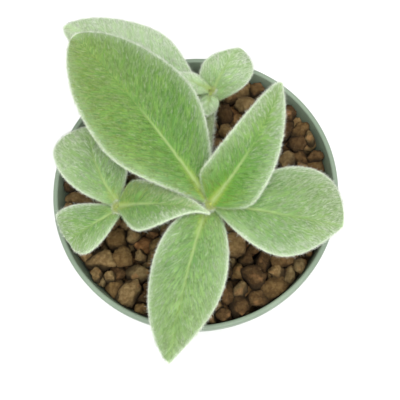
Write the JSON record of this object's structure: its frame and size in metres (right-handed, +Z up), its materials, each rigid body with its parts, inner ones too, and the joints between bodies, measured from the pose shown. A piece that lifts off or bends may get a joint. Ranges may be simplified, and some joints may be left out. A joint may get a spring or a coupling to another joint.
{
  "type": "potted brazilian edelweiss",
  "caption": "Young tuberous house plant with whorls of thick silver-haired leaves on short stems, in a round tapered pot of clay granules.",
  "frame": {"origin": "centre of the pot's flat underside", "axes": "+Z straight up along the pot's axis, +Y towards the top of the picture, +X to its right"},
  "size_m": [0.102, 0.1187, 0.1364],
  "materials": {
    "pot": "smooth moulded plastic, sage green, satin",
    "granules": "fired clay grains, brown to tan, porous and matt",
    "tuber": "corky grey-brown skin, matt",
    "stem": "pale green, covered in fine silver hairs",
    "leaf": "fleshy green blade, velvety with fine silver hairs"
  },
  "bodies": {
    "root": {"pot": "pot", "granules": "granules", "tuber": "tuber", "stem_a": "stem", "stem_b": "stem", "stem_c": "stem", "leaf_a1": "leaf", "leaf_a2": "leaf", "leaf_a3": "leaf", "leaf_a4": "leaf", "leaf_b1": "leaf", "leaf_b2": "leaf", "leaf_b3": "leaf", "leaf_c1": "leaf", "leaf_c2": "leaf", "leaf_c3": "leaf", "leaf_c4": "leaf"}
  },
  "joints": []
}
